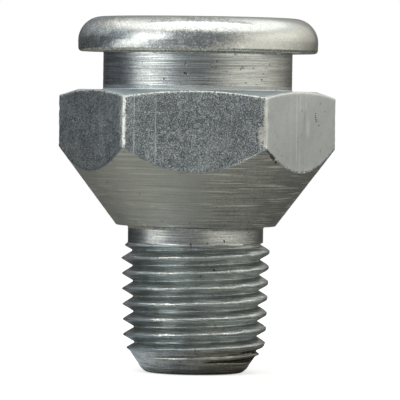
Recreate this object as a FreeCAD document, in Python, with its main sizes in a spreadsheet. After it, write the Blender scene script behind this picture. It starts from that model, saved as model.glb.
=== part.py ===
import FreeCAD, Part
import math
import os
import Sketcher

# Button head grease fitting: one turned body with a flat button head, a hexagon, a cone under it and
# a taper threaded shank, and inside it a check ball that a spring holds up under the inlet.
# Millimetres and degrees. Z runs along the fitting, from the end of the thread up to the head.
# Every height is measured from the end face of the thread, which lies at Z = 0.

SHEET = "Sizes"

# Driving dimensions, each with its value and what it measures.
DIMENSIONS = [
    ("head_diameter", 22.2, "button head that the coupler slides over"),
    ("head_height", 3.22, "head, from its underside to its flat top"),
    ("head_top_round", 2.2, "large round at the head's top rim"),
    ("head_edge_bevel", 0.3, "small bevel at the head's lower rim"),
    ("neck_diameter", 17.42, "neck under the head, where the coupler's jaws go"),
    ("neck_height", 3.48, "neck, from the top of the hexagon to the head"),
    ("across_flats", 22.2, "hexagon across its flats"),
    ("across_corners", 25.5, "hexagon across its blunted corners"),
    ("chamfer_circle_diameter", 21.9, "circle where the hexagon's top chamfer starts"),
    ("chamfer_angle", 18.0, "slope of the hexagon's top chamfer"),
    ("shoulder_height", 12.42, "from the foot of the cone to the top of the hexagon"),
    ("cone_foot_diameter", 14.68, "small end of the cone under the hexagon"),
    ("cone_angle", 37.0, "cone's side, from the axis"),
    ("relief_diameter", 12.48, "smooth groove between the thread and the cone"),
    ("relief_length", 1.65, "length of that groove"),
    ("relief_corner", 0.3, "sloping corner under the cone's foot"),
    ("thread_length", 11.9, "threaded shank, from the end face to the relief groove"),
    ("thread_end_diameter", 13.0, "thread over its crests, carried down to the end face"),
    ("taper_ratio", 16.0, "length over which the thread grows by one in diameter"),
    ("thread_pitch", 1.4111, "thread, from one crest to the next"),
    ("thread_angle", 60.0, "angle between the thread's two sides"),
    ("crest_flat", 0.24, "flat along the thread's crest"),
    ("first_root_height", 0.64, "root of the lowest groove, where it faces +X"),
    ("end_chamfer_length", 2.8, "chamfer that leads into the thread, along the axis"),
    ("rolled_edge_diameter", 9.7, "where the end chamfer turns into the rolled edge"),
    ("rolled_edge_height", 0.4, "height of the rolled edge"),
    ("end_face_diameter", 8.5, "flat end face inside the rolled edge"),
    ("inlet_diameter", 4.0, "grease inlet in the middle of the head"),
    ("inlet_length", 1.2, "inlet, from the head's top to the ball seat"),
    ("inlet_bevel", 0.25, "bevel at the inlet's mouth"),
    ("seat_angle", 45.0, "ball seat's side, from the axis"),
    ("chamber_diameter", 7.4, "bore for the ball and the spring"),
    ("outlet_diameter", 5.8, "hole inside the rolled lip"),
    ("outlet_bevel", 0.3, "bevel at that hole's mouth"),
    ("lip_thickness", 1.0, "rolled lip that the spring stands on"),
    ("ball_diameter", 6.35, "check ball"),
    ("wire_diameter", 0.7, "spring wire"),
    ("spring_mean_diameter", 6.1, "spring coil, from wire centre to wire centre"),
    ("open_turns", 5.0, "open turns of the spring, between its two closed ones"),
    ("turn_play", 0.02, "play between a closed turn and what lies against it"),
    ("ball_play", 0.03, "play between the ball and its seat, and between the ball and the spring"),
]

HEXAGON_SIDES = 6
WIRE_SIDES = 4


def half(name):
    """The expression for half of a driving dimension."""
    return f"{SHEET}.{name} / 2"


# Heights above the end face, as expressions.
RELIEF_FOOT = f"{SHEET}.thread_length"
CONE_FOOT = f"({RELIEF_FOOT} + {SHEET}.relief_length)"
HEX_TOP = f"({CONE_FOOT} + {SHEET}.shoulder_height)"
NECK_TOP = f"({HEX_TOP} + {SHEET}.neck_height)"
HEAD_TOP = f"({NECK_TOP} + {SHEET}.head_height)"

# How much the thread's radius grows for each unit of length.
TAPER_RISE = f"(0.5 / {SHEET}.taper_ratio)"

# Ball seat: the foot of the inlet, the apex of the seat's cone, and the ball's centre under it.
SEAT_TOP = f"({HEAD_TOP} - {SHEET}.inlet_length)"
SEAT_APEX = f"({SEAT_TOP} + {half('inlet_diameter')} / tan({SHEET}.seat_angle))"
BALL_CENTRE = (
    f"({SEAT_APEX} - ({half('ball_diameter')} + {SHEET}.ball_play)"
    f" / sin({SHEET}.seat_angle))"
)

# Spring: the wire's centre at its lower and upper ends, and the pitches of its closed and open turns.
WIRE_LOW = f"({SHEET}.lip_thickness + {half('wire_diameter')} + {SHEET}.turn_play)"
BALL_ABOVE_WIRE = (
    f"sqrt(({half('ball_diameter')} + {half('wire_diameter')} + {SHEET}.ball_play)^2"
    f" - ({half('spring_mean_diameter')})^2)"
)
WIRE_HIGH = f"({BALL_CENTRE} - {BALL_ABOVE_WIRE})"
CLOSED_PITCH = f"({SHEET}.wire_diameter + {SHEET}.turn_play)"
OPEN_PITCH = f"(({WIRE_HIGH} - {WIRE_LOW} - 2 * {CLOSED_PITCH}) / {SHEET}.open_turns)"


def make_sheet(doc):
    """The table of driving dimensions."""
    sheet = doc.addObject("Spreadsheet::Sheet", SHEET)
    for row, (name, value, meaning) in enumerate(DIMENSIONS, start=1):
        sheet.set(f"A{row}", name)
        sheet.set(f"B{row}", str(value))
        sheet.set(f"C{row}", meaning)
        sheet.setAlias(f"B{row}", name)
    doc.recompute()


def value_of(item, expression):
    """What an expression gives now, as a plain number."""
    result = item.evalExpression(expression)
    return float(getattr(result, "Value", result))


def origin_plane(body, role):
    """One of a body's own origin planes."""
    for feature in body.Origin.OriginFeatures:
        if feature.Role == role:
            return feature
    raise ValueError(f"{body.Label} has no {role}")


def new_sketch(body, name, plane):
    """An empty sketch on an origin plane of its body."""
    sketch = body.newObject("Sketcher::SketchObject", name)
    sketch.AttachmentSupport = [(origin_plane(body, plane), "")]
    sketch.MapMode = "FlatFace"
    return sketch


def tie(sketch, name, constraint, expression):
    """Adds a constraint with a size, and binds the size to an expression."""
    index = sketch.addConstraint(Sketcher.Constraint(*constraint, value_of(sketch, expression)))
    sketch.renameConstraint(index, name)
    sketch.setExpression(f"Constraints.{name}", expression)


def draw_outline(sketch, corners):
    """A closed outline of straight lines. Each corner is its two expressions, and 0 is on an axis."""
    points = []
    for across, up in corners:
        points.append(FreeCAD.Vector(value_of(sketch, across), value_of(sketch, up), 0))
    count = len(points)
    for line in range(count):
        sketch.addGeometry(Part.LineSegment(points[line], points[(line + 1) % count]), False)
    for line in range(count):
        sketch.addConstraint(Sketcher.Constraint("Coincident", line, 2, (line + 1) % count, 1))
    for line, (across, up) in enumerate(corners):
        if across == "0":
            sketch.addConstraint(Sketcher.Constraint("PointOnObject", line, 1, -2))
        else:
            tie(sketch, f"across_{line}", ("DistanceX", -1, 1, line, 1), across)
        if up == "0":
            sketch.addConstraint(Sketcher.Constraint("PointOnObject", line, 1, -1))
        else:
            tie(sketch, f"up_{line}", ("DistanceY", -1, 1, line, 1), up)


def draw_regular(sketch, sides, corner_radius, centre):
    """A regular outline with a corner straight across from its centre, drawn in a guide circle."""
    middle = FreeCAD.Vector(value_of(sketch, centre[0]), value_of(sketch, centre[1]), 0)
    radius = value_of(sketch, corner_radius)
    corners = []
    for side in range(sides):
        turned = 2 * math.pi * side / sides
        corners.append(middle + FreeCAD.Vector(radius * math.cos(turned), radius * math.sin(turned), 0))
    lines = []
    for side in range(sides):
        following = corners[(side + 1) % sides]
        lines.append(sketch.addGeometry(Part.LineSegment(corners[side], following), False))
    circle = Part.Circle(middle, FreeCAD.Vector(0, 0, 1), radius)
    guide = sketch.addGeometry(circle, True)
    for side in range(sides):
        following = lines[(side + 1) % sides]
        sketch.addConstraint(Sketcher.Constraint("Coincident", lines[side], 2, following, 1))
        sketch.addConstraint(Sketcher.Constraint("PointOnObject", lines[side], 1, guide))
    for side in range(1, sides):
        sketch.addConstraint(Sketcher.Constraint("Equal", lines[0], lines[side]))
    sketch.addConstraint(Sketcher.Constraint("Horizontal", guide, 3, lines[0], 1))
    tie(sketch, "corner_radius", ("Radius", guide), corner_radius)
    if centre == ("0", "0"):
        sketch.addConstraint(Sketcher.Constraint("Coincident", guide, 3, -1, 1))
    else:
        tie(sketch, "centre_across", ("DistanceX", -1, 1, guide, 3), centre[0])
        tie(sketch, "centre_up", ("DistanceY", -1, 1, guide, 3), centre[1])


def turned_solid(doc, name, corners):
    """A body of its own, turned round the axis from one closed outline."""
    body = doc.addObject("PartDesign::Body", name)
    sketch = new_sketch(body, f"{name}Outline", "XZ_Plane")
    draw_outline(sketch, corners)
    turned = body.newObject("PartDesign::Revolution", f"{name}Turned")
    turned.Profile = sketch
    turned.ReferenceAxis = (sketch, ["V_Axis"])
    turned.Angle = 360.0
    doc.recompute()
    return body


def turn_upper(doc):
    """The relief, the cone, the blank of the hexagon, the neck and the head."""
    relief = half("relief_diameter")
    corner = half("across_corners")
    chamfer_circle = half("chamfer_circle_diameter")
    neck = half("neck_diameter")
    head = half("head_diameter")
    bevel = f"{SHEET}.head_edge_bevel"
    relief_corner = f"{SHEET}.relief_corner"
    cone_top = f"{CONE_FOOT} + ({corner} - {half('cone_foot_diameter')}) / tan({SHEET}.cone_angle)"
    corner_top = f"{HEX_TOP} - ({corner} - {chamfer_circle}) * tan({SHEET}.chamfer_angle)"
    return turned_solid(doc, "Upper", [
        ("0", RELIEF_FOOT),
        (relief, RELIEF_FOOT),
        (relief, f"{CONE_FOOT} - {relief_corner}"),
        (f"{relief} + {relief_corner}", CONE_FOOT),
        (half("cone_foot_diameter"), CONE_FOOT),
        (corner, cone_top),
        (corner, corner_top),
        (chamfer_circle, HEX_TOP),
        (neck, HEX_TOP),
        (neck, NECK_TOP),
        (f"{head} - {bevel}", NECK_TOP),
        (head, f"{NECK_TOP} + {bevel}"),
        (head, HEAD_TOP),
        ("0", HEAD_TOP),
    ])


def turn_shank(doc):
    """The shank's blank: its end, the lead-in chamfer, and stock that stands clear of the crests."""
    crest = half("thread_end_diameter")
    rolled = half("rolled_edge_diameter")
    rolled_top = f"{SHEET}.rolled_edge_height"
    chamfer_top = f"{SHEET}.end_chamfer_length"
    chamfer_edge = f"({crest} + {chamfer_top} * {TAPER_RISE})"
    steepness = f"(({chamfer_top} - {rolled_top}) / ({chamfer_edge} - {rolled}))"
    stock = f"({crest} + {RELIEF_FOOT} * {TAPER_RISE} + {SHEET}.thread_pitch / 4)"
    return turned_solid(doc, "Shank", [
        ("0", "0"),
        (half("end_face_diameter"), "0"),
        (rolled, rolled_top),
        (stock, f"{chamfer_top} + ({stock} - {chamfer_edge}) * {steepness}"),
        (stock, RELIEF_FOOT),
        ("0", RELIEF_FOOT),
    ])


def one_turn(radius, foot, pitch, rise):
    """One turn of a right-hand helix that widens with the taper, from a point that faces +X."""
    lean = math.atan(rise)
    slant = pitch / math.cos(lean)
    turn = Part.makeHelix(slant, slant, radius, math.degrees(lean))
    turn.translate(FreeCAD.Vector(0, 0, foot))
    return turn.Edges[0]


def flat_face(points):
    """A flat face inside a closed outline."""
    return Part.Face(Part.makePolygon(points + points[:1]))


def thread_rod(item):
    """A solid rod with the whole thread on it. It is longer than the shank and ends in one step."""
    pitch = value_of(item, f"{SHEET}.thread_pitch")
    rise = value_of(item, TAPER_RISE)
    crest = value_of(item, half("thread_end_diameter"))
    root_height = value_of(item, f"{SHEET}.first_root_height")
    mouth = (pitch - value_of(item, f"{SHEET}.crest_flat")) / 2
    depth = mouth / value_of(item, f"tan({half('thread_angle')})")
    shank_top = value_of(item, RELIEF_FOOT)
    first = math.floor((mouth - root_height) / pitch) - 1
    last = math.ceil((shank_top + mouth - root_height) / pitch)
    lines = [(crest, -mouth), (crest - depth, 0.0), (crest, mouth)]

    def spot(line, turn):
        """Where one of the groove's three lines faces +X on a turn."""
        radius, offset = lines[line]
        height = root_height + turn * pitch + offset
        return FreeCAD.Vector(radius + height * rise, 0, height)

    def edge(line, turn):
        start = spot(line, turn)
        return one_turn(start.x, start.z, pitch, rise)

    def end_faces(turn):
        """The sloping end of the rod at a turn, and the flat step that closes it."""
        low = FreeCAD.Vector(0, 0, spot(0, turn).z)
        high = low + FreeCAD.Vector(0, 0, pitch)
        slope = Part.makeRuledSurface(edge(0, turn), Part.makeLine(low, high))
        groove = [spot(0, turn), spot(1, turn), spot(2, turn), spot(0, turn + 1)]
        return [slope, flat_face([low] + groove + [high])]

    faces = end_faces(first) + end_faces(last)
    for turn in range(first, last):
        faces.append(Part.makeRuledSurface(edge(0, turn), edge(1, turn)))
        faces.append(Part.makeRuledSurface(edge(1, turn), edge(2, turn)))
        faces.append(Part.makeRuledSurface(edge(2, turn), edge(0, turn + 1)))
    shell = Part.makeShell(faces)
    shell.sewShape()
    rod = Part.Solid(shell)
    if rod.Volume < 0:
        rod.reverse()
    return rod


def cut_thread(doc, shank):
    """The shank with its thread: what the blank and the threaded rod have in common."""
    rod = doc.addObject("Part::Feature", "ThreadRod")
    rod.Shape = thread_rod(rod)
    threaded = doc.addObject("Part::Common", "ThreadedShank")
    threaded.Base = rod
    threaded.Tool = shank
    doc.recompute()
    return threaded


def ring_edge(shape, radius, height):
    """The name of the round edge that has this radius at this height."""
    near = 1e-4
    for number, edge in enumerate(shape.Edges, start=1):
        curve = edge.Curve
        if not isinstance(curve, Part.Circle):
            continue
        if abs(curve.Radius - radius) < near and abs(curve.Center.z - height) < near:
            return f"Edge{number}"
    raise ValueError(f"no round edge of radius {radius} at height {height}")


def round_head(doc, body):
    """The large round on top of the head."""
    blank = body.Tip
    rim = ring_edge(blank.Shape, value_of(body, half("head_diameter")), value_of(body, HEAD_TOP))
    fillet = body.newObject("PartDesign::Fillet", "HeadTopRound")
    fillet.Base = (blank, [rim])
    fillet.setExpression("Radius", f"{SHEET}.head_top_round")
    doc.recompute()


def cut_flats(doc, body):
    """The six flats, cut from the foot of the cone up to the top of the hexagon."""
    sketch = new_sketch(body, "FlatsOutline", "XY_Plane")
    sketch.setExpression("AttachmentOffset.Base.z", CONE_FOOT)
    corner_radius = f"{SHEET}.across_flats / (2 * cos(180 / {HEXAGON_SIDES}))"
    draw_regular(sketch, HEXAGON_SIDES, corner_radius, ("0", "0"))
    outside_radius = f"2 * {corner_radius}"
    circle = Part.Circle(
        FreeCAD.Vector(0, 0, 0), FreeCAD.Vector(0, 0, 1), value_of(sketch, outside_radius)
    )
    outside = sketch.addGeometry(circle, False)
    sketch.addConstraint(Sketcher.Constraint("Coincident", outside, 3, -1, 1))
    tie(sketch, "outside_radius", ("Radius", outside), outside_radius)
    before = body.Tip.Shape.Volume
    flats = body.newObject("PartDesign::Pocket", "Flats")
    flats.Profile = sketch
    flats.Reversed = True
    flats.setExpression("Length", f"{SHEET}.shoulder_height")
    doc.recompute()
    if flats.Shape.Volume >= before:
        raise RuntimeError("the flats cut nothing")


def turn_bore(doc):
    """The inside: the inlet, the ball seat, the chamber and the hole in the rolled lip."""
    inlet = half("inlet_diameter")
    outlet = half("outlet_diameter")
    chamber = half("chamber_diameter")
    inlet_bevel = f"{SHEET}.inlet_bevel"
    outlet_bevel = f"{SHEET}.outlet_bevel"
    lip_top = f"{SHEET}.lip_thickness"
    seat_foot = f"{SEAT_APEX} - {chamber} / tan({SHEET}.seat_angle)"
    return turned_solid(doc, "Bore", [
        ("0", "0"),
        (f"{outlet} + {outlet_bevel}", "0"),
        (outlet, outlet_bevel),
        (outlet, lip_top),
        (chamber, lip_top),
        (chamber, seat_foot),
        (inlet, SEAT_TOP),
        (inlet, f"{HEAD_TOP} - {inlet_bevel}"),
        (f"{inlet} + {inlet_bevel}", HEAD_TOP),
        ("0", HEAD_TOP),
    ])


def make_fitting_body(doc):
    """The turned body, all one piece of steel."""
    upper = turn_upper(doc)
    round_head(doc, upper)
    cut_flats(doc, upper)
    solid = doc.addObject("Part::Fuse", "SolidFitting")
    solid.Base = upper
    solid.Tool = cut_thread(doc, turn_shank(doc))
    doc.recompute()
    body = doc.addObject("Part::Cut", "fitting_body")
    body.Label = "fitting_body"
    body.Base = solid
    body.Tool = turn_bore(doc)
    doc.recompute()
    if body.Shape.Volume >= solid.Shape.Volume:
        raise RuntimeError("the bore cuts nothing")
    return body


def make_check_ball(doc):
    """The ball that closes the inlet from below."""
    ball = doc.addObject("Part::Sphere", "check_ball")
    ball.Label = "check_ball"
    ball.setExpression("Radius", half("ball_diameter"))
    ball.setExpression("Placement.Base.z", BALL_CENTRE)
    return ball


def add_turns(doc, body, name, foot, pitch, turns):
    """A length of coil. All of them start on the same side of the axis, so their ends meet."""
    sketch = new_sketch(body, f"{name}Wire", "XZ_Plane")
    centre = (half("spring_mean_diameter"), foot)
    draw_regular(sketch, WIRE_SIDES, half("wire_diameter"), centre)
    coil = body.newObject("PartDesign::AdditiveHelix", name)
    coil.Profile = sketch
    coil.ReferenceAxis = (sketch, ["V_Axis"])
    coil.Mode = "pitch-turns-angle"
    coil.Angle = 0.0
    coil.Refine = False
    coil.setExpression("Pitch", pitch)
    coil.setExpression("Turns", turns)
    doc.recompute()


def make_check_spring(doc):
    """The spring under the ball: open turns between two closed ones, in wire drawn with four sides."""
    body = doc.addObject("PartDesign::Body", "check_spring")
    body.Label = "check_spring"
    open_foot = f"{WIRE_LOW} + {CLOSED_PITCH}"
    upper_foot = f"{WIRE_HIGH} - {CLOSED_PITCH}"
    add_turns(doc, body, "LowerClosedTurn", WIRE_LOW, CLOSED_PITCH, "1")
    add_turns(doc, body, "OpenTurns", open_foot, OPEN_PITCH, f"{SHEET}.open_turns")
    add_turns(doc, body, "UpperClosedTurn", upper_foot, CLOSED_PITCH, "1")
    return body


def check_document(doc):
    """Stops if any object failed to recompute."""
    for item in doc.Objects:
        if "Invalid" in item.State or "Error" in item.State:
            raise RuntimeError(f"{item.Label} failed: {item.State}")


def check_shape(piece):
    """Stops unless a sub-part is one sound solid."""
    shape = piece.Shape
    if shape.isNull() or not shape.isValid():
        raise RuntimeError(f"{piece.Label} has no sound shape")
    if len(shape.Solids) != 1:
        raise RuntimeError(f"{piece.Label} has {len(shape.Solids)} solids")


def main():
    """Builds the document and writes each sub-part."""
    doc = FreeCAD.newDocument("button_head_fitting")
    make_sheet(doc)
    pieces = [
        make_fitting_body(doc),
        make_check_ball(doc),
        make_check_spring(doc),
    ]
    doc.recompute()
    check_document(doc)
    for piece in pieces:
        check_shape(piece)
    os.makedirs("parts", exist_ok=True)
    for piece in pieces:
        piece.Shape.exportStep(f"parts/{piece.Label}.step")


main()
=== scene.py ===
# Button head grease fitting, dressed for a picture: zinc plated steel that has been turned on a lathe,
# with a taper thread, drawn flats and a little wear. Lengths in the shape code are millimetres.
import math
from dataclasses import dataclass
from types import SimpleNamespace

import bpy
import numpy as np
from mathutils import Matrix, Vector


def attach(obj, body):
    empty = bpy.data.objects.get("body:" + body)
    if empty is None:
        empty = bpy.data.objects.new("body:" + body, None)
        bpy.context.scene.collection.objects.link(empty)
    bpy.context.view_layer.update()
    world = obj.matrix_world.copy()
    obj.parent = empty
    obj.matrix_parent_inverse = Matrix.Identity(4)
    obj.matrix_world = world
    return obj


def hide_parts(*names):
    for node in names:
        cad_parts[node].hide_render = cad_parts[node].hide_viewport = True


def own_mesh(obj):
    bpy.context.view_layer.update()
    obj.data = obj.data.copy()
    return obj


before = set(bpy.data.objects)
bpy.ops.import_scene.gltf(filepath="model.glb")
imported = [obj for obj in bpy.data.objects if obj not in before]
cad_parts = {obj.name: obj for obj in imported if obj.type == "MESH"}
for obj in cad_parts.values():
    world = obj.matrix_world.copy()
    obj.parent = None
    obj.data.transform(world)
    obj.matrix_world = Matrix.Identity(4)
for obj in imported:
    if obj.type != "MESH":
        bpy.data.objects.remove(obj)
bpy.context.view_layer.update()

MM = 0.001

# Heights above the end face of the thread
THREAD_TOP = 11.93
THREAD_FOOT = 0.9
NOSE_TOP = 2.1
CONE_FOOT = 13.55
HEX_TOP = 25.97
NECK_TOP = 29.45
HEAD_TOP = 32.67

# Radii
HEAD_R = 11.1
NECK_R = 8.71
FLAT_R = 11.1
CHAMFER_R = 10.95
CONE_FOOT_R = 7.34
RELIEF_R = 6.24
BORE_R = 3.7
INLET_R = 2.0
OUTLET_R = 2.9

CONE_SLOPE = math.tan(math.radians(37.0))
CHAMFER_SLOPE = math.tan(math.radians(18.0))
CORNER_R = 12.735

# Taper thread
PITCH = 1.4111
CREST_FLAT = 0.1
ROOT_FLAT = 0.06
ROUND_ABOVE_CREST, ROUND_BELOW_CREST = 0.1, 0.02
LOWEST_FULL_GROOVE = 1.5
CREST_R_AT_END = 6.5
TAPER = 1 / 32
CREST_HEIGHT = 10.475
CREST_ANGLE = math.radians(182.1)

# How far the surface runs for each millimetre of height, which sets how close its turned lines lie
THREAD_RUN = 1.15
CONE_RUN = 1.25

# The longest part of a profile's side that an arc at its corner may take
LONGEST_ARC = 0.7

# Which material each band of the surface takes
HEAD, NECK, RIM, FLATS, CONE, RELIEF, THREAD, NOSE, BORE = range(9)


def wave_noise(seed, *coordinates):
    """Smooth noise from sines, about -1 to 1, the same each run."""
    rng = np.random.default_rng(seed)
    total = 0.0
    for _ in range(6):
        phase = rng.uniform(0, 2 * math.pi)
        for value in coordinates:
            phase = phase + value * rng.uniform(0.6, 1.7) * (1 if rng.random() < 0.5 else -1)
        total = total + np.sin(phase)
    return total / 3.0


def between(value, low, high):
    """How far a value is from low to high, 0 to 1. Low may be the larger of the two."""
    return np.clip((value - low) / (high - low), 0, 1)


def read_off(table, value, column=1):
    """A value read off a table whose first column rises."""
    return np.interp(value, [row[0] for row in table], [row[column] for row in table])


def column_angles():
    """Where the columns stand round the axis: closer together at the six corners."""
    near = [0.0, 0.35, 0.64, 0.82, 1.2, 1.9, 2.95]
    side = near + list(np.linspace(near[-1], 30.0, 21)[1:])
    sector = side + [60.0 - value for value in side[-2:0:-1]]
    angles = [60.0 * corner + value for corner in range(6) for value in sector]
    return np.radians(np.array(angles))


ANGLES = column_angles()
COLUMNS = len(ANGLES)


def from_corner(angle):
    """The angle to the nearest corner of the hexagon."""
    sixth = math.pi / 3
    return np.abs((angle + sixth / 2) % sixth - sixth / 2)


def hexagon_radius(angle):
    """The hexagon's outline, with a narrow flat along each corner."""
    turn = from_corner(angle)
    flat = FLAT_R / np.cos(math.pi / 6 - turn)
    return np.minimum(flat, CORNER_R / np.cos(turn))


def fan(value):
    """A value for every column."""
    return np.zeros(COLUMNS) + value


def rounded(before, corner, after, radius, steps):
    """Points of an arc that takes the place of a corner, for all columns at once."""
    towards = corner - before
    away = after - corner
    length_in = np.linalg.norm(towards, axis=0)
    length_out = np.linalg.norm(away, axis=0)
    towards = towards / length_in
    away = away / length_out
    cosine = np.clip((towards * away).sum(0), -1, 1)
    half_turn = np.arccos(cosine) / 2
    cut = np.minimum(radius * np.tan(half_turn), LONGEST_ARC * np.minimum(length_in, length_out))
    first = corner - towards * cut
    last = corner + away * cut
    weight = np.cos(half_turn)
    points = []
    for t in np.linspace(0, 1, steps + 1):
        a = (1 - t) ** 2
        b = 2 * t * (1 - t) * weight
        c = t ** 2
        points.append((first * a + corner * b + last * c) / (a + b + c))
    return points


def profile_rows(corners):
    """Rows of points down a profile, each with its band and how much of an edge it is.
    A corner is across, up, round, arc steps, steps to the next, band and edge: above 0 it wears bright,
    and below 0 it is painted darker."""
    nodes = [np.stack([fan(c[0]), fan(c[1])]) for c in corners]
    last = len(corners) - 1
    arcs = []
    for index, corner in enumerate(corners):
        if 0 < index < last and corner[2] > 0:
            arcs.append(rounded(nodes[index - 1], nodes[index], nodes[index + 1], corner[2], corner[3]))
        else:
            arcs.append([nodes[index]])
    rows = []
    for index, corner in enumerate(corners):
        for point in arcs[index]:
            rows.append((point[0], point[1], corner[5], corner[6]))
        if index < last:
            start, end = arcs[index][-1], arcs[index + 1][0]
            for t in np.linspace(0, 1, corner[4] + 1)[1:-1]:
                point = start + (end - start) * t
                rows.append((point[0], point[1], corner[5], 0.0))
    return rows


def outside_rows():
    """From the inlet's wall over the head and down to the top of the thread."""
    hexagon = hexagon_radius(ANGLES)
    face_top = HEX_TOP - (hexagon - CHAMFER_R) * CHAMFER_SLOPE
    face_foot = CONE_FOOT + (hexagon - CONE_FOOT_R) / CONE_SLOPE
    return profile_rows([
        (INLET_R, HEAD_TOP - 0.28, 0, 0, 1, BORE, 0),
        (INLET_R + 0.02, HEAD_TOP - 0.25, 0, 0, 2, HEAD, 0),
        (INLET_R + 0.27, HEAD_TOP, 0.12, 3, 9, HEAD, 0.6),
        (HEAD_R, HEAD_TOP, 2.2, 14, 2, HEAD, 0),
        (HEAD_R - 0.06, NECK_TOP, 0.35, 5, 4, HEAD, 0.25),
        (NECK_R, NECK_TOP, 0.12, 3, 10, NECK, -0.3),
        (NECK_R, HEX_TOP, 0.12, 3, 4, RIM, -0.25),
        (CHAMFER_R, HEX_TOP, 0.25, 2, 3, RIM, 0.1),
        # The top edge of the flats is worn bright and painted as a highlight.
        (hexagon, face_top, 0.15, 3, 1, FLATS, 0.5),
        (hexagon, face_top - 0.3, 0, 0, 13, FLATS, 0),
        (hexagon, face_foot + 0.3, 0, 0, 1, FLATS, 0),
        (hexagon, face_foot, 0.1, 3, 1, CONE, -0.35),
        (hexagon - 0.25 * CONE_SLOPE, face_foot - 0.25, 0, 0, 19, CONE, 0),
        (CONE_FOOT_R, CONE_FOOT, 0.14, 3, 3, CONE, 0.3),
        (RELIEF_R, CONE_FOOT, 0.3, 5, 4, RELIEF, -0.35),
        (RELIEF_R, THREAD_TOP + 0.2, 0, 0, 1, RELIEF, 0),
        (RELIEF_R, THREAD_TOP + 0.1, 0, 0, 1, RELIEF, 0),
    ])


def inside_rows():
    """From the foot of the thread round the rolled end and up the bore to the inlet."""
    return profile_rows([
        (envelope(0.8), 0.8, 0, 0, 1, NOSE, 0),
        (4.93, 0.42, 1.0, 5, 2, NOSE, -0.1),
        # Where the nose stands on the floor its edge is painted dark as shade.
        (4.42, 0.0, 0.6, 5, 3, NOSE, -0.75),
        (OUTLET_R + 0.3, 0.0, 0.1, 2, 2, NOSE, 0.4),
        (OUTLET_R, 0.3, 0.1, 2, 3, NOSE, 0.4),
        (OUTLET_R, 1.0, 0.15, 2, 2, BORE, 0),
        (BORE_R, 1.0, 0.15, 2, 8, BORE, 0),
        (BORE_R, HEAD_TOP - 2.9, 0.2, 2, 3, BORE, 0),
        (INLET_R, HEAD_TOP - 1.2, 0.1, 2, 2, BORE, 0),
        (INLET_R, HEAD_TOP - 0.35, 0, 0, 1, BORE, 0),
    ])


def envelope(height):
    """The thread's outside before it was cut: lead-in chamfer, taper and the slope into the relief."""
    outside = [
        (THREAD_FOOT - 0.2, 5.06), (1.13, 5.38), (1.9, 5.9), (2.3, 6.38), (2.9, 6.59), (11.34, 6.86),
        (THREAD_TOP, RELIEF_R), (THREAD_TOP + 0.2, RELIEF_R),
    ]
    return read_off(outside, height)


def thread_radius(angle, height, offset):
    """Radius of the threaded surface. The offset is the height above the nearest crest line."""
    uneven = 0.02 * wave_noise(3, angle * 9.0, height * 3.0)
    blunt = CREST_FLAT * (1.0 + 0.55 * np.cos(angle)) + uneven
    crest = CREST_R_AT_END + height * TAPER
    slope = 1 / math.tan(math.radians(30))
    past = np.abs(offset) - blunt
    rounding = np.where(offset > 0, ROUND_ABOVE_CREST, ROUND_BELOW_CREST)
    down = (past + np.sqrt(past ** 2 + rounding ** 2)) / 2 * slope - rounding / 2 * slope * (past < 0)
    down = np.clip(down - 0.3 * rounding, 0, None)
    reach = (PITCH / 2 - blunt - ROOT_FLAT) * slope
    rolled_in = 0.03 * np.exp(-(past / 0.05) ** 2)
    nicks = np.clip(wave_noise(29, angle * 61.0, height * 2.0) - 0.25, 0, None) * (past < 0.05)
    ripple = 0.014 * wave_noise(5, angle * 23.0, height * 7.0)
    run_out = 3.0 * np.clip(LOWEST_FULL_GROOVE - height, 0, None)
    cut = crest - np.minimum(down, reach) - rolled_in + ripple - 0.06 * nicks + run_out
    return np.minimum(cut, envelope(height))


def stretch(angle, first, last):
    """1 between two angles in degrees, fading to 0 at both of them."""
    fade = 8
    turned = np.degrees(angle) % 360
    return between(turned, first, first + fade) * between(turned, last, last - fade)


# The torn last turn: its ends in degrees, and the heights of what is torn
TORN_FROM, TORN_TO = 278, 359
GASH_HEIGHT, GASH_RISE = 1.22, 0.15
LIP_ABOVE_GASH = 0.22
GAP_HEIGHT = 2.12
KNOB_HEIGHT = 1.75


def burr(angle, height):
    """The torn last turn: a gash that climbs and deepens, with a lip over it, a gap above them, and a
    knob where they end."""
    turned = np.degrees(angle) % 360
    ragged = 1 + 0.3 * wave_noise(8, angle * 31.0)
    middle = GASH_HEIGHT + GASH_RISE * between(turned, 284, 354)
    deeper = np.clip((turned - 284) / 45, 0.25, 1)
    half = 0.08 + 0.13 * deeper
    gash = -0.42 * deeper * stretch(angle, TORN_FROM, TORN_TO) * np.exp(-((height - middle) / half) ** 4)
    above_lip = height - middle - LIP_ABOVE_GASH
    lip = 0.07 * stretch(angle, TORN_FROM + 6, TORN_TO) * np.exp(-(above_lip / 0.12) ** 2)
    gap = -0.3 * stretch(angle, 315, TORN_TO) * np.exp(-((height - GAP_HEIGHT) / 0.13) ** 4)
    knob = 0.2 * stretch(angle, 342, 368) * np.exp(-((height - KNOB_HEIGHT) / 0.16) ** 2)
    return ragged * (gash + lip + gap + knob)


# Height of the thread's rows above a crest line, as shares of the pitch
ROW_SHARES = [-0.462, -0.42, -0.35, -0.27, -0.19, -0.12, -0.085, -0.05, 0.0,
              0.05, 0.085, 0.12, 0.19, 0.27, 0.35, 0.42, 0.462, 0.5]


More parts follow.
